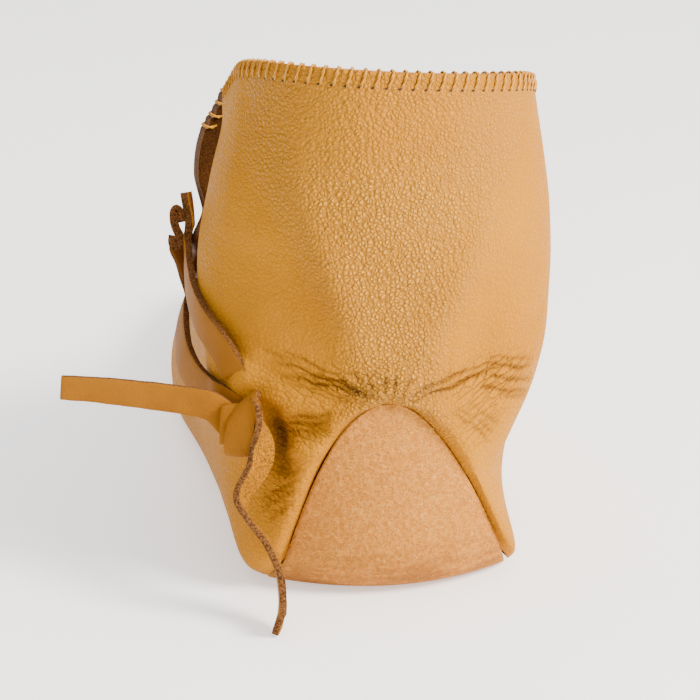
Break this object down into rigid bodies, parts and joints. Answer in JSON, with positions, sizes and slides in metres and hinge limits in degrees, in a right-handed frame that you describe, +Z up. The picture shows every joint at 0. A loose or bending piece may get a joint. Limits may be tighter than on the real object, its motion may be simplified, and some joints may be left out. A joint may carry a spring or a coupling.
{
  "type": "turnshoe",
  "caption": "Soft ankle-high turnshoe, left foot: one-piece leather upper, sole drawn up at the heel, side opening tied with flat thongs.",
  "frame": {"origin": "bottom centre of the shoe's box without its free thong ends and knots; the sole's flat underside lies in z = 0", "axes": "+Y is heel to toe, +Z is up, and +X is the wearer's inner side of this left shoe, so the tied side opening is on -X"},
  "size_m": [0.1453, 0.2907, 0.1538],
  "materials": {
    "ochre_leather": "pebbled full-grain leather with a soft sheen; suede flesh side inside",
    "natural_leather": "undyed vegetable-tanned sole leather, matt, with a fine fibre mottle",
    "thong_leather": "flat ochre thong with a smooth grain side and a brown suede flesh side"
  },
  "bodies": {
    "root": {"upper": "ochre_leather", "sole": "natural_leather", "thong_bar_upper": "thong_leather", "thong_bar_lower": "thong_leather", "knot_upper": "thong_leather", "knot_lower": "thong_leather", "end_upper_tip": "thong_leather", "end_upper_hang": "thong_leather", "end_lower_out": "thong_leather", "end_lower_down": "thong_leather"}
  },
  "joints": []
}
